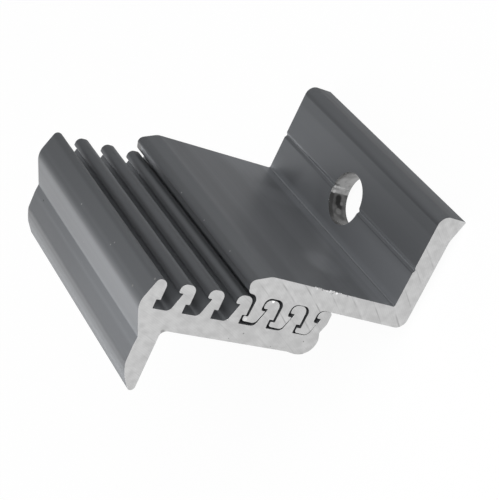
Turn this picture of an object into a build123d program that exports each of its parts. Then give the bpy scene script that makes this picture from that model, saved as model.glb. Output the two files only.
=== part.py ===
"""Adjustable end clamp for framed panels: two sawn lengths of aluminium extrusion whose racks interlock.

Both sections are drawn in leg coordinates, in millimetres. "Down" runs down the leg from the pitch line of the
top tooth, and "out" runs from the rack towards the toe of the foot, with 0 on the face of the plate that the tips
of the teeth reach. The finished lengths are then placed in the object's frame: X towards the toe, Y along the
extrusion and Z up along the bolt hole, with the origin in the middle of that hole, on the underside of the foot.
"""

from build123d import *
import math
import os

# Driving sizes
LENGTH = 47.0  # of both pieces, along the extrusion
PITCH = 5.0  # one step of clamping height
TEETH = 7
HOOKS = 3
FIRST_HOOKED = 4  # the tooth just below the first hook, counted from 0: drawn out as far as it goes
BOLT_HOLE_R = 4.5  # clearance for M8
LEG_LEAN = 1.65  # degrees that the leg leans over the foot

# Teeth of the lip piece: up and down from the tooth's own pitch line, and depths behind the plate
TIP = 0.135
TOP_TIP = 0.045  # the first tooth is a little longer
END_TIP = 0.285  # and the last a little shorter
HEAD_UP = 1.625
HEAD_DOWN = 1.00
BARB = 1.71  # depth of the barb's underside
NECK_UP = 0.78
ROOT_UP = 1.84
STEP = 3.36  # depth where the lower side is undercut
POCKET_DOWN = 0.31
ROOT = 4.925
CROWN_UP_R = 1.0
CROWN_DOWN_R = 1.15
ROOT_R = 0.95

# Play between the hooks of the foot piece and the gaps that they lie in
PLAY_STEM = 0.48
PLAY_TOE = 0.44
PLAY_TOE_TOP = 0.415
PLAY_ROOT = 0.275
PLAY_FLANK = 0.10
PLAY_LEDGE = 0.605
PLAY_HEAD = 0.30
PLAY_ROUND = 0.10
PLAY_TIP = 0.02  # where a tooth leans on the plate

# Wall of the rack, and the lip that lies over the panel's frame
RACK_WALL = 3.315
END_BEAD = 0.20  # that the lower end of the rack stands out behind
LIP_THICK = 3.35
LIP_REACH = 10.73
LIP_CORNER_R = 1.1
BULGE_UP = 2.25  # of the swelling behind the first tooth

# Plate and foot
PLATE = 3.45
NOSE_UP = 0.89  # of the plate's nose, from the pitch line of the tooth above the first hook
PLATE_BELOW = 11.06  # from the pitch line of the last hooked tooth to the foot
FOOT_THICK = 3.70
FOOT_REACH = 20.16
HOLE_OUT = 10.20
HEEL_R = 1.75
TOE_R = 1.7
TOE_BEAD = 1.15  # that the toe stands below the foot, to bite on the rail
TOE_BEAD_LENGTH = 3.81
GROOVE_WIDTH = 0.95
GROOVE_DEPTH = 0.30

# What follows from them
LAST_TOOTH = TEETH - 1
LAST_HOOKED = FIRST_HOOKED + HOOKS - 1
RACK_BACK = ROOT + RACK_WALL
LIP_END = RACK_BACK + LIP_REACH
FLANK = (ROOT_UP - NECK_UP) / (ROOT - BARB)  # slope of the slanted side of a tooth
FOOT_SLOPE = math.tan(math.radians(LEG_LEAN))
PLAY_CENTRE_DOWN = (FIRST_HOOKED + LAST_HOOKED) / 2 * PITCH - 1.5
PLAY_CENTRE_OUT = -2.0
SHORTEST_EDGE = 1e-6


def outline(corners):
    """A face from (down, out, radius) corners, each rounded by a tangent arc as far as its two sides allow."""
    points = [Vector(out, 0, -down) for down, out, _ in corners]
    count = len(points)

    def towards(i, j):
        return (points[j % count] - points[i]).normalized()

    halves = [math.acos(towards(i, i - 1).dot(towards(i, i + 1))) / 2 for i in range(count)]
    reaches = [corner[2] / math.tan(half) for corner, half in zip(corners, halves)]
    room = []
    for i in range(count):
        after = (i + 1) % count
        room.append((points[after] - points[i]).length / (reaches[i] + reaches[after]))

    arcs = []
    for i in range(count):
        before, after = towards(i, i - 1), towards(i, i + 1)
        reach = reaches[i] * min(1, room[i - 1], room[i])
        radius = reach * math.tan(halves[i])
        middle = (before + after).normalized() * (radius / math.sin(halves[i]) - radius)
        arcs.append((points[i] + before * reach, points[i] + middle, points[i] + after * reach))

    edges = []
    for i, (start, middle, end) in enumerate(arcs):
        last_end = arcs[i - 1][2]
        if (start - last_end).length > SHORTEST_EDGE:
            edges.append(Edge.make_line(last_end, start))
        edges.append(Edge.make_three_point_arc(start, middle, end))
    return Face(Wire(edges))


def tooth_tip(number):
    """Depth of a tooth's tip behind the plate."""
    if number == 0:
        return TOP_TIP
    return END_TIP if number == LAST_TOOTH else TIP


def tooth_above(number):
    """Corners of the barbed upper side of a tooth, from the root to the tip."""
    y = number * PITCH
    return [
        (y - ROOT_UP, -ROOT, ROOT_R),
        (y - NECK_UP, -BARB, 0.12),
        (y - HEAD_UP, -BARB, 0.28),
        (y - HEAD_UP, -tooth_tip(number), CROWN_UP_R),
    ]


def tooth_below(number):
    """Corners of the undercut lower side of a tooth, from the tip to the root."""
    y = number * PITCH
    return [
        (y + HEAD_DOWN, -tooth_tip(number), CROWN_DOWN_R),
        (y + HEAD_DOWN, -STEP, 0.14),
        (y + POCKET_DOWN, -STEP, 0.06),
        (y + POCKET_DOWN, -ROOT, 0.12),
    ]


def rack_end():
    """Corners of the waisted lower end of the rack, from the tip of the last tooth to the rack's back."""
    y = LAST_TOOTH * PITCH
    bead_out = -RACK_BACK - END_BEAD
    return [
        (y + 0.70, -END_TIP, 0.60),
        (y + 0.70, -2.42, 0.9),
        (y + 0.09, -4.05, 0.45),
        (y + 0.56, -5.35, 1.2),
        (y + 0.56, bead_out, 2.75),
        (y - 2.75, bead_out, 1.0),
        (y - 4.00, -RACK_BACK, 1.0),
    ]


def lip():
    """Corners of the lip, from the corner that takes the panel's frame, round its edge and up its outer side."""
    return [
        (LIP_THICK, -RACK_BACK, LIP_CORNER_R),
        (LIP_THICK, -LIP_END, 0.7),
        (LIP_THICK - 0.97, -LIP_END, 0.5),
        (0.75, -LIP_END + 2.32, 6.0),
        (-0.02, -LIP_END + 4.47, 2.5),
        (-0.04, -RACK_BACK - 3.01, 6.0),
        (0.09, -RACK_BACK - 1.68, 0.5),
        (-BULGE_UP, -ROOT + 0.49, 3.3),
    ]


def lip_section():
    """The rack with its teeth outwards, and the lip at its upper end."""
    corners = [(-0.69, -TOP_TIP, 0.8)] + tooth_below(0)
    for number in range(1, LAST_TOOTH):
        corners += tooth_above(number) + tooth_below(number)
    return outline(corners + tooth_above(LAST_TOOTH) + rack_end() + lip())


def hook(number):
    """Corners of the hook above a tooth: the gap between the teeth, less the play."""
    above, below = (number - 1) * PITCH, number * PITCH
    stem = above + HEAD_DOWN + PLAY_STEM
    toe = above + POCKET_DOWN + PLAY_TOE
    toe_top = STEP + PLAY_TOE_TOP
    bottom = ROOT - PLAY_ROOT
    ledge = BARB + PLAY_LEDGE
    head_side = below - HEAD_UP - PLAY_HEAD

    def flank(depth):
        return below - NECK_UP - PLAY_FLANK - (depth - BARB) * FLANK

    return [
        (stem, 0.0, CROWN_DOWN_R + PLAY_ROUND),
        (stem, -toe_top, 0.10),
        (toe, -toe_top, 0.10),
        (toe, -bottom, 0.40),
        (flank(bottom), -bottom, ROOT_R - PLAY_ROUND),
        (flank(ledge), -ledge, 0.10),
        (head_side, -ledge, 0.35),
        (head_side, 0.0, CROWN_UP_R + PLAY_ROUND),
    ]


def foot_inner(out):
    """Down to the upper face of the foot."""
    return LAST_HOOKED * PITCH + PLATE_BELOW - (out - PLATE) * FOOT_SLOPE


def foot_underside(out):
    return foot_inner(out) + FOOT_THICK / math.cos(math.radians(LEG_LEAN))


def plate_nose():
    """Corners of the round nose in which the plate ends, over the tooth above the first hook."""
    y = (FIRST_HOOKED - 1) * PITCH - NOSE_UP
    return [
        (y + 3.04, PLATE, 2.5),
        (y, PLATE - 1.31, 1.05),
        (y, 1.35, 0.5),
        (y + 0.50, 0.0, 0.75),
    ]


def foot():
    """Corners of the foot, from the heel along the underside, round the toe and back to the plate."""
    bead_start = FOOT_REACH - TOE_BEAD_LENGTH
    half_groove = GROOVE_WIDTH / 2
    return [
        (foot_underside(0.0), 0.0, HEEL_R),
        (foot_underside(bead_start), bead_start, 2.5),
        (foot_underside(FOOT_REACH) + TOE_BEAD, FOOT_REACH, 0.15),
        (foot_inner(FOOT_REACH), FOOT_REACH, TOE_R),
        (foot_inner(HOLE_OUT + half_groove), HOLE_OUT + half_groove, 0.08),
        (foot_inner(HOLE_OUT) + GROOVE_DEPTH, HOLE_OUT, 0.12),
        (foot_inner(HOLE_OUT - half_groove), HOLE_OUT - half_groove, 0.08),
        (foot_inner(PLATE), PLATE, 0.28),
    ]


def foot_section():
    """The plate with its hooks, and the foot that the bolt holds down."""
    corners = plate_nose()
    for number in range(FIRST_HOOKED, LAST_HOOKED + 1):
        corners += hook(number)
    return outline(corners + foot())


def lean_back(section):
    """The lip piece hangs back in the play of its teeth until a tip lies against the plate."""
    angles = []
    for number in range(FIRST_HOOKED, TEETH):
        arm = number * PITCH - PLAY_CENTRE_DOWN
        if arm > 0:
            angles.append(math.degrees(math.atan2(tooth_tip(number) - PLAY_TIP, arm)))
    centre = Pos(PLAY_CENTRE_OUT, 0, -PLAY_CENTRE_DOWN)
    print(f"lip piece leans back {min(angles):.2f} degrees")
    return centre * Rot(0, -min(angles), 0) * centre.inverse() * section


def sawn(section):
    """A length of the section, placed in the object's frame."""
    bar = Solid.extrude(Pos(0, -LENGTH / 2, 0) * section, Vector(0, LENGTH, 0))
    return Rot(0, LEG_LEAN, 0) * Pos(-HOLE_OUT, 0, foot_underside(HOLE_OUT)) * bar


foot_bracket = sawn(foot_section()) - Cylinder(BOLT_HOLE_R, 4 * FOOT_THICK)
lip_bracket = sawn(lean_back(lip_section()))

os.makedirs("parts", exist_ok=True)
for name, piece in (("foot_bracket", foot_bracket), ("lip_bracket", lip_bracket)):
    box = piece.bounding_box()
    print(
        f"{name}: {len(piece.solids())} solid, {piece.volume / 1000:.3f} cm3, "
        f"X {box.min.X:.2f} to {box.max.X:.2f}, Z {box.min.Z:.2f} to {box.max.Z:.2f}"
    )
    export_step(piece, f"parts/{name}.step")
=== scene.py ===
"""A solar panel end clamp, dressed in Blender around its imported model.

Two sawn lengths of dark aluminium section: the foot, which is bolted down through its hole, and the
lip, whose barbed rack slides endwise into the foot's hooks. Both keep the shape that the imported
model gives them. This script gives them the finish of the real thing: a satin dyed skin with the
die's lines along it, bare ends with the curved marks of the saw, small burrs, and a bare bore.
"""

# %% [markdown]
# ## The frame
#
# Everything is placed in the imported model's own frame: the origin is the middle of the bolt hole on
# the foot's underside, +Z goes up along the bolt, +X points to the foot's toe, and Y runs along the
# extrusion. The near end of both lengths, which faces the camera, is at the lowest Y. Blender
# measures in metres, so a value in millimetres is multiplied by MM.

import math
import random

import bmesh
import bpy
from mathutils import Matrix, Vector


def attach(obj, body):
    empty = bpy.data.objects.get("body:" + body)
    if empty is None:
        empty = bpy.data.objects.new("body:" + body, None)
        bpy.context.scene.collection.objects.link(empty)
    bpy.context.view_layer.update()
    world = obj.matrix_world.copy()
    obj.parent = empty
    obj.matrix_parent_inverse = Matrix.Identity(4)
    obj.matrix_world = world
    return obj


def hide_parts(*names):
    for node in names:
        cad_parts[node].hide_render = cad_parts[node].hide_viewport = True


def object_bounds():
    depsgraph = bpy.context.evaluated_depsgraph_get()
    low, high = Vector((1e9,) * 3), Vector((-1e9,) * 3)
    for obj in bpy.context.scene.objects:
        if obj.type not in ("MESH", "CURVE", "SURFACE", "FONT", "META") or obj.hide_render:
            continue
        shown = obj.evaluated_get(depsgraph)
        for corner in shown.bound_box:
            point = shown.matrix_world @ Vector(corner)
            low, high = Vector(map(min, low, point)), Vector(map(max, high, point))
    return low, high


MM = 0.001

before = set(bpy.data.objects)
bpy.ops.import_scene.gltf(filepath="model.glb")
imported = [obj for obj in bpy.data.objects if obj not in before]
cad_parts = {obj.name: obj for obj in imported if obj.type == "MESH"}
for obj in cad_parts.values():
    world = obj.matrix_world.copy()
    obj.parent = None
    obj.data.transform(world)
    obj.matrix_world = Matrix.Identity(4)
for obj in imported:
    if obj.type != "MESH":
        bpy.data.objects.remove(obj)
packed_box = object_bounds()
packed_low, packed_high = Vector(packed_box[0]), Vector(packed_box[1])
middle = (packed_low + packed_high) / 2
print("nodes:", sorted(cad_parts))
print("packed size:", [round(side / MM, 2) for side in packed_high - packed_low], "mm")

# %% [markdown]
# ## The camera
#
# The picture was taken with a long lens, from in front of one sawn end and a little above, with the
# camera rolled so far that the part's +Z points to the left. A Track To constraint would keep the
# camera upright, so its axes are written down instead: the picture's right and its down. The third
# axis follows from them.

# %% Set the camera
CAMERA_PLACE = Vector((77.03, -204.18, 163.95)) * MM
PICTURE_RIGHT = Vector((0.41435, -0.40537, -0.81486)).normalized()
PICTURE_DOWN = Vector((-0.84573, -0.50227, -0.18019)).normalized()
LENS = 117.46
SENSOR = 36.0
CLIP_START = 10 * MM

toward_camera = PICTURE_DOWN.cross(PICTURE_RIGHT).normalized()
picture_up = toward_camera.cross(PICTURE_RIGHT)
axes = Matrix((PICTURE_RIGHT, picture_up, toward_camera)).transposed()

camera_data = bpy.data.cameras.new("camera")
camera_data.sensor_fit = "HORIZONTAL"
camera_data.sensor_width = SENSOR
camera_data.lens = LENS
camera_data.clip_start = CLIP_START
camera = bpy.data.objects.new("camera", camera_data)
camera.matrix_world = Matrix.Translation(CAMERA_PLACE) @ axes.to_4x4()

scene = bpy.context.scene
scene.collection.objects.link(camera)
scene.camera = camera
scene.view_settings.view_transform = "Standard"
print("camera looks along", [round(part, 3) for part in -toward_camera])

# %% [markdown]
# ## Helpers for materials
#
# A material is a graph of nodes, in which the output of one node feeds an input of the next. It
# could be drawn by hand in the Shader Editor, but a script can build it too. One helper adds a node
# and fills or links its inputs, and one starts a material with its Principled shader. Small ones
# for sums and ranges let each finish below read as a short recipe.

# %% Add a node
def add_node(tree, kind, inputs=None, **settings):
    """A new node. inputs gives its sockets, by name or number, a value or another node's output."""
    node = tree.nodes.new(kind)
    for name, value in settings.items():
        setattr(node, name, value)
    for key, value in (inputs or {}).items():
        if isinstance(value, bpy.types.NodeSocket):
            tree.links.new(value, node.inputs[key])
        else:
            node.inputs[key].default_value = value
    return node


def start_material(name):
    """A new material, its node tree and its Principled shader."""
    material = bpy.data.materials.new(name)
    material.use_nodes = True
    tree = material.node_tree
    return material, tree, tree.nodes["Principled BSDF"]


def grey(level):
    """A neutral grey as a colour."""
    return (level, level, level, 1.0)


print("white is", grey(1.0))

# %% Work with values
def calculate(tree, operation, first, second):
    """The output of one Math node."""
    return add_node(tree, "ShaderNodeMath", {0: first, 1: second}, operation=operation).outputs[0]


def times(tree, first, second):
    """first times second."""
    return calculate(tree, "MULTIPLY", first, second)


def spread(tree, value, low, high, start, end):
    """value from low to high becomes start to end, smoothly, and stays there past them."""
    inputs = {"Value": value, "From Min": low, "From Max": high, "To Min": start, "To Max": end}
    node = add_node(tree, "ShaderNodeMapRange", inputs, interpolation_type="SMOOTHSTEP")
    return node.outputs["Result"]


print("helpers for sums and ranges: calculate, times, spread")

# %% [markdown]
# ## The floor
#
# The ground of the picture is white, with hardly a shadow. A large sheet lies under the foot, made
# from a grid of one face. Lamps strong enough to turn it white would burn out the bare metal, so
# Light Path tells the rays that show the sheet, to the camera or in a shine, from those that only
# carry light. The rays that show it get a mix: mostly an even white, and for a small share the
# sheet as it is lit, which keeps the part's shadow.

# %% Lay the floor
FLOOR_HALF = 3.0
FLOOR_GAP = 0.02 * MM

floor_level = packed_low.z - FLOOR_GAP
floor_form = bmesh.new()
bmesh.ops.create_grid(floor_form, x_segments=1, y_segments=1, size=FLOOR_HALF)
bmesh.ops.translate(floor_form, verts=floor_form.verts, vec=(0, 0, floor_level))
floor_mesh = bpy.data.meshes.new("floor")
floor_form.to_mesh(floor_mesh)
floor_form.free()
floor = bpy.data.objects.new("floor", floor_mesh)
scene.collection.objects.link(floor)
print("the floor lies at Z", round(floor_level / MM, 2), "mm")

# %% Whiten the floor
FLOOR_GLOW = 0.95
FLOOR_COLOUR = grey(0.85)
FLOOR_ROUGHNESS = 0.9


def seen_itself(tree):
    """1 for a ray that shows this surface, to the camera or in a shine, and 0 for one that lights."""
    rays = add_node(tree, "ShaderNodeLightPath").outputs
    shown = calculate(tree, "MAXIMUM", rays["Is Camera Ray"], rays["Is Glossy Ray"])
    return calculate(tree, "MAXIMUM", shown, rays["Is Transmission Ray"])


floor_finish, tree, shader = start_material("pale_floor")
shader.inputs["Base Color"].default_value = FLOOR_COLOUR
shader.inputs["Roughness"].default_value = FLOOR_ROUGHNESS
shader.inputs["Specular IOR Level"].default_value = 0.0
white = add_node(tree, "ShaderNodeEmission", {"Color": grey(1.0), "Strength": 1.0})
share = times(tree, seen_itself(tree), FLOOR_GLOW)
sheet = add_node(
    tree, "ShaderNodeMixShader", {0: share, 1: shader.outputs[0], 2: white.outputs[0]}
)
tree.links.new(sheet.outputs[0], tree.nodes["Material Output"].inputs["Surface"])
floor_mesh.materials.append(floor_finish)
print("the floor shows", FLOOR_GLOW, "white and", round(1.0 - FLOOR_GLOW, 2), "as it is lit")

# %% [markdown]
# ## The surroundings
#
# A product picture is taken in a light tent, which lights the part a little from all sides and
# shows in its shine. A dome of lamps could do that, but the world's background does it with one
# node: it lights softly, and to the rays that show it, it is plain white.

# %% Fill the surroundings with even light
SKY_LIGHT = 0.33

world = bpy.data.worlds.new("studio")
world.use_nodes = True
scene.world = world
sky = world.node_tree.nodes["Background"]
sky.inputs["Color"].default_value = grey(1.0)
strength = spread(world.node_tree, seen_itself(world.node_tree), 0.0, 1.0, SKY_LIGHT, 1.0)
world.node_tree.links.new(strength, sky.inputs["Strength"])
print("the sky lights at", SKY_LIGHT, "and shows white")

# %% [markdown]
# ## The lamps
#
# Soft boxes stand round the part at arm's length: area lamps, because a point lamp would leave hard
# shadows and small glints on the satin skin. Each is placed by a turn about +Z, counted from +X
# towards +Y, and by a height above the horizon, and it faces the part's middle. The first one
# stands behind the lip: its light glances off the swelling next to the lip as a pale band.

# %% Hang the soft boxes
LAMP_DISTANCE = 0.7
LAMP_SIZE = 0.45


def soft_box(name, turn, height, watts):
    """A square lamp that faces the part's middle. turn and height are in degrees."""
    data = bpy.data.lights.new(name, "AREA")
    data.shape = "SQUARE"
    data.size = LAMP_SIZE
    data.energy = watts
    turn, height = math.radians(turn), math.radians(height)
    reach = math.cos(height)
    way = Vector((math.cos(turn) * reach, math.sin(turn) * reach, math.sin(height)))
    lamp = bpy.data.objects.new(name, data)
    lamp.location = middle + way * LAMP_DISTANCE
    lamp.rotation_euler = way.to_track_quat("Z", "Y").to_euler()
    lamp.visible_camera = False
    scene.collection.objects.link(lamp)
    print(name, "at", [round(part, 2) for part in lamp.location], "m,", watts, "W")


soft_box("shoulder_box", turn=130, height=6, watts=2.33)
soft_box("back_box", turn=122, height=26, watts=0.43)
soft_box("lip_box", turn=180, height=13, watts=1.4)
soft_box("left_box", turn=225, height=12, watts=0.77)
soft_box("front_box", turn=270, height=20, watts=1.7)
soft_box("toe_box", turn=315, height=12, watts=1.3)
soft_box("high_box", turn=315, height=48, watts=2.5)
soft_box("right_box", turn=0, height=30, watts=0.9)

# %% [markdown]
# ## The dyed skin
#
# Both lengths were etched dull, anodised and dyed a dark grey before they were sawn. The die that
# shaped them left lines along the extrusion, which the etching softened but didn't remove. They
# could be modelled, but they are finer than any edge, so noise draws them: stretched along Y, it
# makes lines on every side of both sections. Wide bands and a slow cloud of the dye are added, and
# keep the skin from looking like paint.

# %% Draw the die's lines
LINE_LENGTH = 90 * MM
LINE_ROUGHNESS = 0.55
COOL = (0.96, 1.0, 1.06)


def lines_along(tree, place, width, detail):
    """Noise drawn out along Y into lines of about this width."""
    scale = (1 / width, 1 / LINE_LENGTH, 1 / width)
    drawn = add_node(tree, "ShaderNodeMapping", {"Vector": place, "Scale": scale}).outputs[0]
    inputs = {"Vector": drawn, "Scale": 1.0, "Detail": detail, "Roughness": LINE_ROUGHNESS}
    return add_node(tree, "ShaderNodeTexNoise", inputs).outputs["Fac"]


def noise(tree, place, size, detail=2.0):
    """Even noise whose patches are about this size."""
    inputs = {"Vector": place, "Scale": 1 / size, "Detail": detail}
    return add_node(tree, "ShaderNodeTexNoise", inputs).outputs["Fac"]


def blend(tree, share, first, second):
    """A colour that goes from first to second as share goes from 0 to 1."""
    inputs = {0: share, 6: first, 7: second}
    return add_node(tree, "ShaderNodeMix", inputs, data_type="RGBA").outputs[2]


def cool_grey(level):
    """The slightly cool grey of the dye as a colour, also used for the painted light and shade."""
    red, green, blue = (part * level for part in COOL)
    return (red, green, blue, 1.0)


print("a middling dye is", [round(part, 3) for part in cool_grey(0.11)])

# %% Dye the skin
DYE_DARK, DYE_PALE = cool_grey(0.107), cool_grey(0.113)
LINE_WIDTH, LINE_DETAIL, LINE_SHARE = 0.35 * MM, 3.0, 0.20
BAND_WIDTH, BAND_DETAIL, BAND_SHARE = 2.2 * MM, 2.0, 0.45
CLOUD_SIZE, CLOUD_DETAIL, CLOUD_SHARE = 14 * MM, 3.0, 0.35
TONE_LOW, TONE_HIGH = 0.35, 0.65

skin, tree, shader = start_material("dyed_skin")
place = add_node(tree, "ShaderNodeTexCoord").outputs["Object"]
fine_lines = lines_along(tree, place, LINE_WIDTH, LINE_DETAIL)
bands = lines_along(tree, place, BAND_WIDTH, BAND_DETAIL)
cloud = noise(tree, place, CLOUD_SIZE, CLOUD_DETAIL)
tone = times(tree, bands, BAND_SHARE)
tone = calculate(tree, "ADD", tone, times(tree, cloud, CLOUD_SHARE))
tone = calculate(tree, "ADD", tone, times(tree, fine_lines, LINE_SHARE))
skin_colour = blend(tree, spread(tree, tone, TONE_LOW, TONE_HIGH, 0.0, 1.0), DYE_DARK, DYE_PALE)
print("the skin's lines are", LINE_WIDTH / MM, "mm wide")

# %% [markdown]
# ## The painted light in the corner and the painted shade on the shoulder
#
# In the corner under the plate, where its shade falls, painted light makes the skin paler, most of
# all at the near end, and on the rounded shoulder of the toe painted shade makes it darkest. Both run
# along the extrusion, so they belong to a place in the section. A painted texture could show them,
# but a distance can be measured in the shader: scaling Y to nothing flattens the part to its
# section, and what is near a point there is a band along Y.

# %% Paint light into the corner and shade onto the shoulder
SPOT_CORE = 0.45
# Painted light: where it lifts the shade in the corner under the plate, and its grey.
LIT_CORNER, LIT_CORNER_RADIUS = Vector((-5.0, 0.0, 4.5)) * MM, 6.5 * MM
LIT_CORNER_FRONT, LIT_CORNER_BACK = -22 * MM, 21 * MM
CORNER_PAINTED_LIGHT = cool_grey(0.175)
# Painted shade: where it darkens the toe's rounded shoulder, and its grey.
SHOULDER_FROM, SHOULDER_DARKEST, SHOULDER_UNTIL = 8.0 * MM, 8.25 * MM, 9.8 * MM
SHOULDER_LEFT = 0.2
SHOULDER_PAINTED_SHADE = cool_grey(0.066)
FOOT_SIDE, FOOT_TOP = 1.0 * MM, 2.5 * MM


def near(tree, place, centre, radius):
    """1 round centre, fading to 0 at this distance from it."""
    there = add_node(tree, "ShaderNodeVectorMath", {0: place, 1: centre}, operation="DISTANCE")
    return spread(tree, there.outputs["Value"], SPOT_CORE * radius, radius, 1.0, 0.0)


flattened = {"Vector": place, "Scale": (1.0, 0.0, 1.0)}
section = add_node(tree, "ShaderNodeMapping", flattened).outputs[0]
axis = add_node(tree, "ShaderNodeSeparateXYZ", {"Vector": place}).outputs
# Painted light in the corner, where the plate's shade falls, strongest at the near end.
painted_lighter = near(tree, section, LIT_CORNER, LIT_CORNER_RADIUS)
painted_lighter = times(tree, painted_lighter, spread(tree, axis["Y"], LIT_CORNER_FRONT, LIT_CORNER_BACK, 1.0, 0.0))
skin_colour = blend(tree, painted_lighter, skin_colour, CORNER_PAINTED_LIGHT)

# Painted shade on the toe's rounded shoulder.
rise = spread(tree, axis["X"], SHOULDER_FROM, SHOULDER_DARKEST, 0.0, 1.0)
fall = spread(tree, axis["X"], SHOULDER_DARKEST, SHOULDER_UNTIL, 1.0, SHOULDER_LEFT)
on_top = spread(tree, axis["Z"], FOOT_SIDE, FOOT_TOP, 0.0, 1.0)
shoulder_shade = times(tree, times(tree, rise, fall), on_top)
skin_colour = blend(tree, shoulder_shade, skin_colour, SHOULDER_PAINTED_SHADE)
print("the corner is worn to", LIT_CORNER_RADIUS / MM, "mm from its middle")

# %% [markdown]
# ## Streaks of painted light and shade
#
# Other bands run along the extrusion where the section is rounded or hollow. They are painted
# shade and painted light, which set each place to its tone where the lamps alone miss it. The
# crowns of the teeth, the front of the plate's nose and the toe are painted darker, and the lip's
# edge, as a painted highlight, the hollow behind it, the sloping sides of the teeth and the lower
# half of the plate paler. Each is a row of numbers: its place in the section, how far it reaches,
# and the grey level painted there, in the dye's cool tint. A loop blends them in, one over the other.

# %% Paint the streaks of light and shade
# Painted light and shade: each row's grey is painted there, paler or darker than the skin.
PAINTED_LIGHT_AND_SHADE = [  # X, Z, radius in millimetres, level of the dye
    (-27.7, 43.1, 1.9, 0.172),  # the lip's edge
    (-24.8, 44.6, 1.0, 0.078),  # the lip's upper side, next to the edge
    (-20.3, 44.0, 2.0, 0.138),  # the hollow between the lip and the swelling next to it
    (-14.2, 46.9, 1.2, 0.095),  # the crest of the swelling
    (-11.7, 46.3, 1.7, 0.096),  # from the swelling to the first tooth
    (-10.2, 45.4, 1.0, 0.079),  # the first tooth's tip
    (-10.1, 41.0, 1.1, 0.071),  # the crowns of the next three
    (-10.1, 36.0, 1.1, 0.073),
    (-10.0, 31.0, 1.1, 0.076),
    (-12.8, 40.9, 1.3, 0.138),  # their sloping sides
    (-12.7, 35.9, 1.3, 0.138),
    (-12.6, 30.9, 1.3, 0.138),
    (-8.6, 30.6, 0.8, 0.145),  # the plate's nose, on the side of the teeth
    (-7.0, 30.2, 1.3, 0.076),  # the nose's front
    (-6.4, 28.4, 1.6, 0.092),  # the plate below the nose
    (-6.05, 24.4, 2.6, 0.098),  # the plate's upper band
    (-6.42, 11.3, 4.0, 0.127),  # the plate's lower band
    (7.2, 3.7, 1.3, 0.098),  # the foot before the toe's shoulder
    (9.9, 2.2, 2.2, 0.087),  # the toe
    (0.42, 3.62, 0.55, 0.130),  # the groove's wall on the side of the toe
    (-0.28, 3.52, 0.40, 0.084),  # the groove's wall on the side of the plate
]

# Each streak blends in its painted grey: the pale ones are painted light, the dark ones painted shade.
for x, z, radius, level in PAINTED_LIGHT_AND_SHADE:
    painted_streak = near(tree, section, Vector((x, 0.0, z)) * MM, radius * MM)
    skin_colour = blend(tree, painted_streak, skin_colour, cool_grey(level))
print(len(PAINTED_LIGHT_AND_SHADE), "streaks along the extrusion")

# %% [markdown]
# ## Fading along the length
#
# The lip's upper side gets painted light at its near end and painted shade at its far end. A Mix
# node set to multiply does that without losing the streaks: above one the skin gets paler, and
# below one deeper. On the first tooth the change is half as strong. A few round patches on the
# plate and on the foot beside it get painted light too, which lifts the shade there.

# %% Paint light and shade along the lip, and light onto a few patches
LIP_FRONT, LIP_BACK = -26 * MM, 26 * MM
LIP_UNDER, LIP_UPPER = 42.4 * MM, 43.4 * MM
SWELLING, FIRST_TOOTH = -14.2 * MM, -12.2 * MM
# Painted light at the lip's near end and painted shade at its far end, as shares of its grey.
NEAR_PAINTED_LIGHT, FAR_PAINTED_SHADE = 1.22, 0.85
TOOTH_SHARE = 0.5
# Patches of painted light, which lift the shade on the plate and the foot.
PAINTED_LIGHT_PATCHES = [  # centre, radius in millimetres, level of the dye
    ((-11.0, 22.0, 9.0), 10.0, 0.150),  # the plate's far end, just above the foot
    ((-6.4, 10.7, 9.0), 4.5, 0.143),  # the plate above the foot
    ((-5.3, 10.5, 3.7), 5.5, 0.141),  # the foot next to it
    ((-6.4, -13.5, 11.9), 5.0, 0.150),  # the plate near its near end
]

# The lip's upper side: painted light towards the near end, painted shade towards the far end.
along = spread(tree, axis["Y"], LIP_FRONT, LIP_BACK, NEAR_PAINTED_LIGHT, FAR_PAINTED_SHADE)
upper = spread(tree, axis["Z"], LIP_UNDER, LIP_UPPER, 0.0, 1.0)
upper = times(tree, upper, spread(tree, axis["X"], SWELLING, FIRST_TOOTH, 1.0, TOOTH_SHARE))
product = {0: upper, 6: skin_colour, 7: along}
skin_colour = add_node(tree, "ShaderNodeMix", product, data_type="RGBA", blend_type="MULTIPLY").outputs[2]
# Each patch blends in painted light.
for centre, radius, level in PAINTED_LIGHT_PATCHES:
    light_patch = near(tree, place, Vector(centre) * MM, radius * MM)
    skin_colour = blend(tree, light_patch, skin_colour, cool_grey(level))
print("the lip's dye goes from", NEAR_PAINTED_LIGHT, "to", FAR_PAINTED_SHADE, "of its level")

# %% [markdown]
# ## The groove and the crease
#
# A fine groove runs along the foot in line with the bolt hole, as a guide for the drill. Its wall
# on the side of the toe gets painted light, except towards the far end. That could be one more
# streak, but a streak is as strong all along, so the wall is bounded by X and fades by Y. The crease
# where plate and foot meet gets painted light as well, which lifts its shade, and the round of the
# corner itself is left as a darker line, with less of it.

# %% Paint light into the groove and the crease
GROOVE_FLOOR, GROOVE_WALL = 0.02 * MM, 0.16 * MM
GROOVE_TOP, GROOVE_RIM = 0.38 * MM, 0.74 * MM
# Painted light on the groove's wall on the side of the toe, fading towards the far end.
GROOVE_FULL_LIGHT_UNTIL, GROOVE_LIGHT_FADED_FROM = 9 * MM, 19 * MM
GROOVE_LEFT = 0.15
GROOVE_PAINTED_LIGHT = cool_grey(0.26)
# Painted light that lifts the shade in the crease, and less of it in the round of the corner.
CREASE, CREASE_RADIUS = Vector((-6.6, 0.0, 4.6)) * MM, 1.7 * MM
CREASE_SHARE = 0.42
CREASE_PAINTED_LIGHT = cool_grey(0.24)
FILLET, FILLET_RADIUS = Vector((-6.54, 0.0, 3.83)) * MM, 0.28 * MM
FILLET_PAINTED_LIGHT = cool_grey(0.126)

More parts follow.
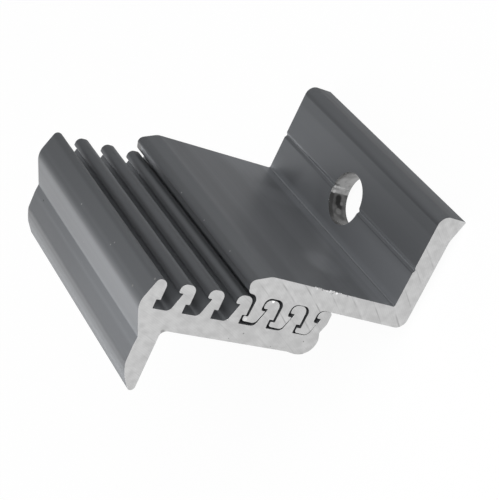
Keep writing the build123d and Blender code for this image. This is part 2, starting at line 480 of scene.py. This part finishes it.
# Painted light on the groove's wall, fading towards the far end.
groove_light = spread(tree, axis["X"], GROOVE_FLOOR, GROOVE_WALL, 0.0, 1.0)
groove_light = times(tree, groove_light, spread(tree, axis["X"], GROOVE_TOP, GROOVE_RIM, 1.0, 0.0))
fading = spread(tree, axis["Y"], GROOVE_FULL_LIGHT_UNTIL, GROOVE_LIGHT_FADED_FROM, 1.0, GROOVE_LEFT)
groove_light = times(tree, times(tree, groove_light, fading), on_top)
skin_colour = blend(tree, groove_light, skin_colour, GROOVE_PAINTED_LIGHT)
# Painted light in the crease, less in the round of the corner itself.
crease_light = times(tree, near(tree, section, CREASE, CREASE_RADIUS), CREASE_SHARE)
skin_colour = blend(tree, crease_light, skin_colour, CREASE_PAINTED_LIGHT)
skin_colour = blend(tree, near(tree, section, FILLET, FILLET_RADIUS), skin_colour, FILLET_PAINTED_LIGHT)
print("the groove's worn wall is", round((GROOVE_RIM - GROOVE_FLOOR) / MM, 2), "mm wide")

# %% [markdown]
# ## Nicks and dust
#
# A few small nicks in the dye are paler or darker than the skin round them, and here and there a
# speck of dust lies on it. The nicks are at known places, so they are spots like the patches above.
# Dust can be anywhere: a Voronoi texture gives one round dot a cell, and the colour of the cell
# picks the few that stay.

# %% Nick and dust the skin
NICKS = [  # centre, radius in millimetres, grey level
    ((-13.12, 3.95, 46.72), 0.20, 0.24),  # the swelling next to the lip
    ((-12.94, -8.97, 46.65), 0.18, 0.22),
    ((-12.28, -9.41, 46.43), 0.18, 0.20),
    ((-10.46, -22.70, 45.80), 0.25, 0.18),  # the first tooth
    ((-13.68, -19.68, 46.85), 0.25, 0.18),  # the swelling again
    ((-7.50, 4.35, 30.61), 0.17, 0.22),  # the plate's nose
    ((-7.40, -4.90, 30.57), 0.16, 0.17),
    ((-7.24, -14.70, 30.46), 0.16, 0.18),
    ((-20.72, 19.47, 44.80), 0.22, 0.04),  # a dark speck on the lip
    ((-8.90, 22.80, 30.30), 1.40, 0.080),  # the nose's far corner
]
DUST = grey(0.26)
DUST_SPACING, DUST_RADIUS, DUST_KEPT = 3.0 * MM, 0.10 * MM, 0.12
DOT_CORE = 0.5


def specks(tree, place, spacing, radius, kept):
    """1 in small round specks, scattered at about this spacing, of which a share is kept."""
    cells = add_node(tree, "ShaderNodeTexVoronoi", {"Vector": place, "Scale": 1 / spacing})
    core, rim = DOT_CORE * radius / spacing, radius / spacing
    dot = spread(tree, cells.outputs["Distance"], core, rim, 1.0, 0.0)
    chance = add_node(tree, "ShaderNodeSeparateColor", {"Color": cells.outputs["Color"]})
    chosen = calculate(tree, "LESS_THAN", chance.outputs[0], kept)
    return times(tree, dot, chosen)


for centre, radius, level in NICKS:
    nick = near(tree, place, Vector(centre) * MM, radius * MM)
    skin_colour = blend(tree, nick, skin_colour, grey(level))
dust = specks(tree, place, DUST_SPACING, DUST_RADIUS, DUST_KEPT)
tree.links.new(blend(tree, dust, skin_colour, DUST), shader.inputs["Base Color"])
print(len(NICKS), "nicks, and dust of", DUST_RADIUS / MM, "mm")

# %% [markdown]
# ## The skin's shine
#
# Dyed aluminium is neither plain metal nor paint: light is coloured in the dye and mirrored by the
# metal under it, so the shader is set between the two, with a weak, darkened mirror. The die's
# lines and the fine grain of the etching are far too shallow to model, and a Bump node turns them
# into a slight unevenness that softens the shine.

# %% Finish the skin
LINE_LOW, LINE_HIGH = 0.3, 0.7
SKIN_SMOOTH, SKIN_DULL = 0.40, 0.44
GRAIN_SIZE, GRAIN_SHARE = 0.09 * MM, 0.35
LINE_DEPTH, LINE_STRENGTH = 0.0015 * MM, 0.6
SKIN_METAL = 0.45
SKIN_MIRROR, SKIN_TINT = 0.15, grey(0.3)

dull = spread(tree, fine_lines, LINE_LOW, LINE_HIGH, SKIN_SMOOTH, SKIN_DULL)
tree.links.new(dull, shader.inputs["Roughness"])
grain = noise(tree, place, GRAIN_SIZE)
height = calculate(tree, "ADD", fine_lines, times(tree, grain, GRAIN_SHARE))
relief = {"Height": height, "Strength": LINE_STRENGTH, "Distance": LINE_DEPTH}
tree.links.new(add_node(tree, "ShaderNodeBump", relief).outputs[0], shader.inputs["Normal"])
shader.inputs["Metallic"].default_value = SKIN_METAL
shader.inputs["Specular IOR Level"].default_value = SKIN_MIRROR
shader.inputs["Specular Tint"].default_value = SKIN_TINT
print("skin finish:", skin.name)

# %% [markdown]
# ## The sawn ends
#
# A circular saw parted the lengths after they were dyed, so their ends are bare metal. Each tooth
# of the blade leaves a shallow arc round the blade's own centre, far outside the section: fine arcs
# close together, and every few millimetres a deeper one where the blade shook, with a burnished
# strip beside it. A Wave texture in rings draws both, once its centre is moved to the blade's.

# %% Draw the blade's arcs
WAVE_TURN = 2 * math.pi / 20
WAVE_DETAIL = 2.0


def arcs(tree, place, pitch, waver, shift=0.0):
    """Rings round the Y axis of place, one every pitch, that stray by waver and lie shift closer in."""
    inputs = {"Vector": place, "Scale": WAVE_TURN / pitch, "Distortion": waver, "Detail": WAVE_DETAIL}
    inputs["Phase Offset"] = 2 * math.pi * shift / pitch
    wave = add_node(tree, "ShaderNodeTexWave", inputs, wave_type="RINGS", rings_direction="Y")
    return wave.outputs["Fac"]


print("a wave of scale 1 repeats every", round(WAVE_TURN, 3), "m")

# %% Shake the blade
CHATTER_PITCH, CHATTER_WAVER = 2.75 * MM, 0.25
CHATTER_SHIFT, BURNISH_SHIFT = 0.27 * MM, -0.35 * MM
CHATTER_FROM, BURNISH_FROM = 0.975, 0.85
BURNISH_SHARE = 0.3
BREAK_SIZE = 3 * MM
BREAK_LOW, BREAK_HIGH, BROKEN = 0.40, 0.62, 0.1
FADE_FROM, FADE_UNTIL, FADED = -8 * MM, 2 * MM, 0.5


def chatter_marks(tree, place, blade, chatter):
    """The deep arcs and the burnished strips. Noise breaks them up, and they fade towards the toe."""
    patches = noise(tree, place, BREAK_SIZE)
    broken = spread(tree, patches, BREAK_LOW, BREAK_HIGH, BROKEN, 1.0)
    across = add_node(tree, "ShaderNodeSeparateXYZ", {"Vector": place}).outputs["X"]
    fading = spread(tree, across, FADE_FROM, FADE_UNTIL, chatter, FADED * chatter)
    strength = times(tree, broken, fading)
    thin = arcs(tree, blade, CHATTER_PITCH, CHATTER_WAVER, CHATTER_SHIFT)
    deep = times(tree, spread(tree, thin, CHATTER_FROM, 1.0, 0.0, 1.0), strength)
    wide = arcs(tree, blade, CHATTER_PITCH, CHATTER_WAVER, CHATTER_SHIFT + BURNISH_SHIFT)
    strips = times(tree, spread(tree, wide, BURNISH_FROM, 1.0, 0.0, BURNISH_SHARE), strength)
    return deep, strips


print("the blade shook every", CHATTER_PITCH / MM, "mm")

# %% [markdown]
# ## Sawn metal
#
# Freshly sawn aluminium is pale and a little cloudy. Its colour is built up in layers, from mottled
# metal through the saw's marks to the grit that stuck in it. Beside the even pattern the picture
# shows single smears and pits, so a finish is also given a list of spots in the near cut, and among
# them a few painted glints where a burr on the cut's edge catches the light. The marks are a few
# thousandths of a millimetre deep, which is work for a Bump node.

# %% Colour sawn metal
NEAR_CUT = -23.5  # its Y in millimetres, as in the lists of spots
MOTTLE_LOW, MOTTLE_HIGH = 0.3, 0.7
MOTTLE_DARK, MOTTLE_PALE = 0.94, 1.06
BURNISHED, SCORED, GOUGED = 1.25, 0.78, 0.70
FINE_SHARE = 0.16
GRIT, GRIT_SHARE = grey(0.22), 0.6
GRIT_SPACING, GRIT_RADIUS, GRIT_KEPT = 4.0 * MM, 0.16 * MM, 0.35


def sawn_colour(tree, place, metal, mottle, fine, deep, strips, spots_and_glints):
    """The layers of sawn metal of this grey level, down to the listed spots: smears, pits and painted
    glints.
    """
    cloudy = spread(tree, mottle, MOTTLE_LOW, MOTTLE_HIGH, 0.0, 1.0)
    colour = blend(tree, cloudy, grey(MOTTLE_DARK * metal), grey(MOTTLE_PALE * metal))
    colour = blend(tree, strips, colour, grey(BURNISHED * metal))
    colour = blend(tree, times(tree, fine, FINE_SHARE), colour, grey(SCORED * metal))
    colour = blend(tree, deep, colour, grey(GOUGED * metal))
    grit = specks(tree, place, GRIT_SPACING, GRIT_RADIUS, GRIT_KEPT)
    colour = blend(tree, times(tree, grit, GRIT_SHARE), colour, GRIT)
    # The listed spots: smears and pits, and painted glints.
    for x, z, radius, level in spots_and_glints:
        spot = near(tree, place, Vector((x, NEAR_CUT, z)) * MM, radius * MM)
        colour = blend(tree, spot, colour, grey(level))
    return colour


print("sawn metal varies from", MOTTLE_DARK, "to", MOTTLE_PALE, "of its level")

# %% Make a sawn finish
MOTTLE_SIZE, MOTTLE_DETAIL = 1.1 * MM, 4.0
FINE_PITCH, FINE_WAVER, FINE_HEIGHT = 0.32 * MM, 2.0, 0.25
SAWN_SMOOTH, SAWN_DULL = 0.50, 0.60
SAWN_DEPTH, SAWN_STRENGTH = 0.012 * MM, 0.6


def sawn_finish(name, metal, blade_centre, chatter, spots_and_glints):
    """Bare sawn metal: its grey level, the blade's centre, how much it shook, and spots to add, painted
    glints among them.
    """
    material, tree, shader = start_material(name)
    place = add_node(tree, "ShaderNodeTexCoord").outputs["Object"]
    moved = {"Vector": place, "Location": -blade_centre}
    blade = add_node(tree, "ShaderNodeMapping", moved).outputs[0]
    deep, strips = chatter_marks(tree, place, blade, chatter)
    fine = arcs(tree, blade, FINE_PITCH, FINE_WAVER)
    mottle = noise(tree, place, MOTTLE_SIZE, MOTTLE_DETAIL)
    colour = sawn_colour(tree, place, metal, mottle, fine, deep, strips, spots_and_glints)
    tree.links.new(colour, shader.inputs["Base Color"])
    dull = spread(tree, mottle, MOTTLE_LOW, MOTTLE_HIGH, SAWN_SMOOTH, SAWN_DULL)
    tree.links.new(dull, shader.inputs["Roughness"])
    height = calculate(tree, "SUBTRACT", times(tree, fine, FINE_HEIGHT), deep)
    relief = {"Height": height, "Strength": SAWN_STRENGTH, "Distance": SAWN_DEPTH}
    tree.links.new(add_node(tree, "ShaderNodeBump", relief).outputs[0], shader.inputs["Normal"])
    shader.inputs["Metallic"].default_value = 1.0
    return material


print("a sawn finish has fine arcs every", FINE_PITCH / MM, "mm")

# %% [markdown]
# ## The two blades
#
# The foot was cut more coarsely than the lip: its deep arcs are plain to see, while on the lip they
# hardly show. One finish for both would lose that, so each length gets its own blade, its own shade
# of metal and its own spots.

# %% Saw both lengths
FOOT_METAL, FOOT_BLADE, FOOT_CHATTER = 0.49, Vector((-82, 0, 78)) * MM, 0.9
LIP_METAL, LIP_BLADE, LIP_CHATTER = 0.475, Vector((-107, 0, 79)) * MM, 0.25
# Spots on the foot's near cut: a pale mark on the hook, painted glints where the burr along the plate's
# edge catches the light, and dark pits.
FOOT_MARKS_AND_GLINTS = [  # X, Z, radius in millimetres, grey level
    (-13.7, 28.7, 0.40, 0.62),
    (-6.30, 19.1, 0.24, 0.64),
    (-6.34, 17.2, 0.24, 0.64),
    (-6.36, 16.6, 0.26, 0.66),
    (-6.42, 15.3, 0.28, 0.80),
    (-6.38, 18.1, 0.16, 0.22),
    (-6.58, 16.0, 0.15, 0.22),
    (-6.48, 13.2, 0.15, 0.25),
]
# Spots on the lip's near cut: a painted glint on the burr at a tooth's top, and dark smears and pits.
LIP_MARKS_AND_GLINTS = [
    (-9.9, 25.45, 0.30, 0.98),
    (-18.2, 41.2, 0.45, 0.30),
    (-17.9, 16.0, 0.50, 0.35),
    (-16.09, 27.82, 0.15, 0.20),
    (-17.37, 29.92, 0.12, 0.25),
    (-15.55, 16.81, 0.15, 0.20),
    (-17.43, 22.11, 0.12, 0.25),
]

sawn_foot = sawn_finish("sawn_foot", FOOT_METAL, FOOT_BLADE, FOOT_CHATTER, FOOT_MARKS_AND_GLINTS)
sawn_lip = sawn_finish("sawn_lip", LIP_METAL, LIP_BLADE, LIP_CHATTER, LIP_MARKS_AND_GLINTS)
print("sawn finishes:", sawn_foot.name, sawn_lip.name)

# %% [markdown]
# ## The bore
#
# The bolt hole was drilled through the dyed foot. Its wall is bare and shinier than a sawn end,
# because a drill's edge rubs as it cuts, with close rings round it. A Wave texture in bands along Z
# draws them, since the hole stands along Z.

# %% Drill the bore
RING_PITCH, RING_WAVER = 0.22 * MM, 2.5
RING_SHARE, RING_DARK = 0.25, grey(0.18)
BORE_PATCH, BORE_DETAIL = 1.3 * MM, 3.0
BORE_LOW, BORE_HIGH = 0.35, 0.65
BORE_DARK, BORE_PALE = grey(0.24), grey(0.36)

bored, tree, shader = start_material("drilled_metal")
place = add_node(tree, "ShaderNodeTexCoord").outputs["Object"]
turns = {"Vector": place, "Scale": WAVE_TURN / RING_PITCH}
turns.update({"Distortion": RING_WAVER, "Detail": WAVE_DETAIL})
wave = add_node(tree, "ShaderNodeTexWave", turns, wave_type="BANDS", bands_direction="Z")
rings = wave.outputs["Fac"]
patches = noise(tree, place, BORE_PATCH, BORE_DETAIL)
wall = blend(tree, spread(tree, patches, BORE_LOW, BORE_HIGH, 0.0, 1.0), BORE_DARK, BORE_PALE)
wall = blend(tree, times(tree, rings, RING_SHARE), wall, RING_DARK)
print("bore finish:", bored.name, "with a ring every", RING_PITCH / MM, "mm")

# %% [markdown]
# ## The dark side of the bore
#
# On the side towards the plate the shiny wall has a painted reflection of dark surroundings,
# broken into patches, and under its upper rim painted shade makes it darkest. The hole is round all
# over in the imported model, so the shader tells that side by X and the rim by Z. The marks that
# the picture shows in the bore, pale and dark, are spots again, painted reflections too.

# %% Paint the dark reflection and the rim's shade into the bore
# The dark side's painted reflection and the rim's painted shade.
DARK_SIDE_FULLY, DARK_SIDE_UNTIL = -1.2 * MM, -0.9 * MM
REFLECTION_PATCH_SIZE, REFLECTION_PATCH_DETAIL = 1.9 * MM, 1.5
REFLECTION_PATCH_LOW, REFLECTION_PATCH_HIGH = 0.38, 0.64
REFLECTION_DARK, REFLECTION_PALE = grey(0.07), grey(0.12)
RIM_SHADE_FROM, RIM_SHADE_FULLY, RIM_SHADE_SHARE = 2.75 * MM, 2.95 * MM, 0.8
RIM_SHADE_GREY = grey(0.035)
# Spots of painted reflection in the bore, pale and dark.
BORE_PAINTED_REFLECTIONS = [  # centre, radius in millimetres, grey level
    ((3.10, 3.20, 2.2), 1.80, 0.200),
    ((2.20, 3.95, 4.0), 1.60, 0.125),
    ((1.00, 4.40, 4.1), 1.10, 0.125),
    ((3.75, 2.50, 3.7), 0.80, 0.070),
    ((-0.85, 4.42, 3.05), 0.40, 0.450),
    ((-1.80, 4.13, 1.80), 0.85, 0.022),
    ((-2.50, 3.75, 1.70), 0.80, 0.022),
    ((-3.00, 3.35, 1.35), 0.70, 0.028),
    ((-2.50, 3.75, 0.95), 0.45, 0.140),
    ((-3.60, 2.70, 1.60), 0.80, 0.130),
    ((-4.20, 1.60, 1.10), 0.65, 0.060),
    ((-4.50, 0.30, 3.00), 1.60, 0.095),
]

axis = add_node(tree, "ShaderNodeSeparateXYZ", {"Vector": place}).outputs
# Painted reflection: the side towards the plate is painted dark, in patches.
dark_side = spread(tree, axis["X"], DARK_SIDE_FULLY, DARK_SIDE_UNTIL, 1.0, 0.0)
reflection_patches = noise(tree, place, REFLECTION_PATCH_SIZE, REFLECTION_PATCH_DETAIL)
dark_reflection = blend(tree, spread(tree, reflection_patches, REFLECTION_PATCH_LOW, REFLECTION_PATCH_HIGH, 0.0, 1.0), REFLECTION_DARK, REFLECTION_PALE)
# Painted shade under the bore's upper rim.
rim_shade = spread(tree, axis["Z"], RIM_SHADE_FROM, RIM_SHADE_FULLY, 0.0, RIM_SHADE_SHARE)
wall = blend(tree, dark_side, wall, blend(tree, rim_shade, dark_reflection, RIM_SHADE_GREY))
# Painted reflections as spots, pale and dark.
for centre, radius, level in BORE_PAINTED_REFLECTIONS:
    reflection_spot = near(tree, place, Vector(centre) * MM, radius * MM)
    wall = blend(tree, reflection_spot, wall, grey(level))
tree.links.new(wall, shader.inputs["Base Color"])
print(len(BORE_PAINTED_REFLECTIONS), "marks in the bore")

# %% Finish the bore
BORE_SMOOTH, BORE_DULL = 0.24, 0.38
DULL_LOW, DULL_HIGH = 0.3, 0.7
RING_DEPTH, RING_STRENGTH = 0.01 * MM, 0.5

dull = spread(tree, patches, DULL_LOW, DULL_HIGH, BORE_SMOOTH, BORE_DULL)
tree.links.new(dull, shader.inputs["Roughness"])
relief = {"Height": rings, "Strength": RING_STRENGTH, "Distance": RING_DEPTH}
tree.links.new(add_node(tree, "ShaderNodeBump", relief).outputs[0], shader.inputs["Normal"])
shader.inputs["Metallic"].default_value = 1.0
print("the bore's roughness goes from", BORE_SMOOTH, "to", BORE_DULL)

# %% [markdown]
# ## The two lengths
#
# Each length is one stick of extrusion, dyed all round and bare at its ends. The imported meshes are
# loose triangles, so each is copied, merged at its doubles, and relieved of the edges that cross
# flat faces. That leaves long strips along the extrusion and one face for each sawn end. Which
# finish a face has follows from its place: an end faces along Y, and the bore's wall lies at the
# hole's radius from the Z axis.

# %% Tell the finishes apart
SKIN, SAWN, BORED, GLINTING = 0, 1, 2, 3
BORE_RADIUS = 4.5 * MM
BORE_MARGIN = 0.1 * MM
END_ON = 0.999
UPRIGHT = 0.3


def finish_of(face):
    """Which finish a face has, told by where it is and which way it faces."""
    if abs(face.normal.y) > END_ON:
        return SAWN
    spot = face.calc_center_median()
    off_wall = abs(math.hypot(spot.x, spot.y) - BORE_RADIUS)
    if abs(face.normal.z) < UPRIGHT and off_wall < BORE_MARGIN:
        return BORED
    return SKIN


print("the bore's wall is", BORE_RADIUS / MM, "mm from its axis")

# %% [markdown]
# ## Broken edges
#
# A cut edge is never quite sharp: the saw and the drill leave it broken by a hair. The edges round
# the ends and the bore get a bevel in two segments, too small to see as a form, which catches the
# light as a deburred edge does. A Bevel modifier could do it, but it would also round the section's
# own corners, while the operator takes just the edges where two finishes meet.

# %% Copy one length
EDGE_BREAK = 0.02 * MM
EDGE_SEGMENTS = 2
DOUBLE = 0.0005 * MM
FLAT = math.radians(0.2)


def copy_length(node):
    """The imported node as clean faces, each with its finish, and its cut edges broken."""
    form = bmesh.new()
    form.from_mesh(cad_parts[node].data)
    bmesh.ops.remove_doubles(form, verts=form.verts, dist=DOUBLE)
    bmesh.ops.dissolve_limit(form, angle_limit=FLAT, verts=form.verts, edges=form.edges)
    for face in form.faces:
        face.material_index = finish_of(face)
    cut_edges = [
        edge
        for edge in form.edges
        if len({face.material_index for face in edge.link_faces}) > 1
    ]
    broken = bmesh.ops.bevel(
        form,
        geom=cut_edges,
        offset=EDGE_BREAK,
        offset_type="OFFSET",
        segments=EDGE_SEGMENTS,
        profile=0.5,
        affect="EDGES",
        clamp_overlap=True,
        material=-1,
    )
    for face in broken["faces"]:
        face.material_index = SAWN
    for face in form.faces:
        face.smooth = True
    print(node, "has", len(cut_edges), "cut edges and", len(form.faces), "faces")
    return form


foot_form = copy_length("foot_bracket")
lip_form = copy_length("lip_bracket")

# %% [markdown]
# ## Torn metal
#
# Where the blade left the foot's plate it pushed up crumbs of bare aluminium. Fresh metal glints,
# so they have a brighter finish of their own than the sawn ends, with facets from a fine noise.

# %% Make the crumbs' finish
FACET_SIZE = 0.08 * MM
FACET_LOW, FACET_HIGH = 0.3, 0.7
FACET_DARK, FACET_PALE = grey(0.80), grey(1.0)
FACET_SMOOTH, FACET_DULL = 0.25, 0.45
FACET_DEPTH, FACET_STRENGTH = 0.01 * MM, 0.3

glinting, tree, shader = start_material("torn_metal")
place = add_node(tree, "ShaderNodeTexCoord").outputs["Object"]
facets = noise(tree, place, FACET_SIZE)
tree.links.new(blend(tree, facets, FACET_DARK, FACET_PALE), shader.inputs["Base Color"])
dull = spread(tree, facets, FACET_LOW, FACET_HIGH, FACET_SMOOTH, FACET_DULL)
tree.links.new(dull, shader.inputs["Roughness"])
relief = {"Height": facets, "Strength": FACET_STRENGTH, "Distance": FACET_DEPTH}
tree.links.new(add_node(tree, "ShaderNodeBump", relief).outputs[0], shader.inputs["Normal"])
shader.inputs["Metallic"].default_value = 1.0
print("crumb finish:", glinting.name)

# %% [markdown]
# ## Crumbs
#
# The crumbs sit along the near cut of the plate, on its edge towards the toe, and crowd near its
# middle. They could be a texture, but a crumb stands out from the edge and shows against the dark
# skin, so each is a tiny lump: a ball with few faces, squashed, turned and dented at random from a
# fixed seed, which gives the same crumbs each time.

# %% Scatter the crumbs
CRUMB_SEED = 7
CRUMB_SMALLEST = 0.35
CRUMB_INSET = 0.7
THICKNESS, BREADTH = (0.5, 0.9), (0.4, 0.8)
DENT = 0.25
CRUMBS_EACH = 14
LARGE, MEDIUM, SMALL = 0.27 * MM, 0.20 * MM, 0.12 * MM
EDGE_LOW = Vector((-6.62 * MM, packed_low.y, 4.6 * MM))
EDGE_HIGH = Vector((-5.97 * MM, packed_low.y, 27.2 * MM))
CROWDED = (0.43, 0.53, 0.66)


def crumb(form, place, size, chance):
    """One crumb of this size."""
    angle = chance.uniform(0, math.pi)
    pivot = Vector((1, chance.random(), chance.random()))
    turn = Matrix.Rotation(angle, 4, pivot)
    squash = Matrix.Diagonal((1.0, chance.uniform(*THICKNESS), chance.uniform(*BREADTH), 1.0))
    matrix = Matrix.Translation(place) @ turn @ squash
    made = bmesh.ops.create_icosphere(form, subdivisions=1, radius=size / 2, matrix=matrix)
    for vert in made["verts"]:
        vert.co += (vert.co - place) * chance.uniform(-DENT, DENT)
    for face in {face for vert in made["verts"] for face in vert.link_faces}:
        face.material_index = GLINTING


def crumbs_along(form, start, end, size, chance):
    """Crumbs up to this size along a cut edge, crowding as they please."""
    for _ in range(CRUMBS_EACH):
        one = size * chance.uniform(CRUMB_SMALLEST, 1.0)
        place = start.lerp(end, chance.random()) + Vector((0, one * CRUMB_INSET, 0))
        crumb(form, place, one, chance)


chance = random.Random(CRUMB_SEED)
low, halfway, high = (EDGE_LOW.lerp(EDGE_HIGH, share) for share in CROWDED)
crumbs_along(foot_form, low, halfway, LARGE, chance)
crumbs_along(foot_form, halfway, high, MEDIUM, chance)
crumbs_along(foot_form, EDGE_LOW, EDGE_HIGH, SMALL, chance)
print("the foot has", len(foot_form.faces), "faces with its crumbs")

# %% [markdown]
# ## The two pieces
#
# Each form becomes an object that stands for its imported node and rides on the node's body, so the
# lip slides in the foot as before. Smooth shading over such long strips would bend the light on
# flat faces. The angle of an edge decides whether it is sharp, and a Weighted Normal modifier lets
# the large faces set the direction, so the flats stay flat and the rounds stay round.

# %% Make the two pieces
SHARP = math.radians(50)


def make_piece(form, name, node, body, sawn):
    """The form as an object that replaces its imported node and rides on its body."""
    mesh = bpy.data.meshes.new(name)
    form.to_mesh(mesh)
    form.free()
    for finish in (skin, sawn, bored, glinting):
        mesh.materials.append(finish)
    mesh.set_sharp_from_angle(angle=SHARP)
    piece = bpy.data.objects.new(name, mesh)
    scene.collection.objects.link(piece)
    normals = piece.modifiers.new("even_normals", "WEIGHTED_NORMAL")
    normals.keep_sharp = True
    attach(piece, body)
    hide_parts(node)
    print(name, "has", len(mesh.polygons), "faces")


make_piece(foot_form, "foot_length", "foot_bracket", "foot", sawn_foot)
make_piece(lip_form, "lip_length", "lip_bracket", "lip", sawn_lip)
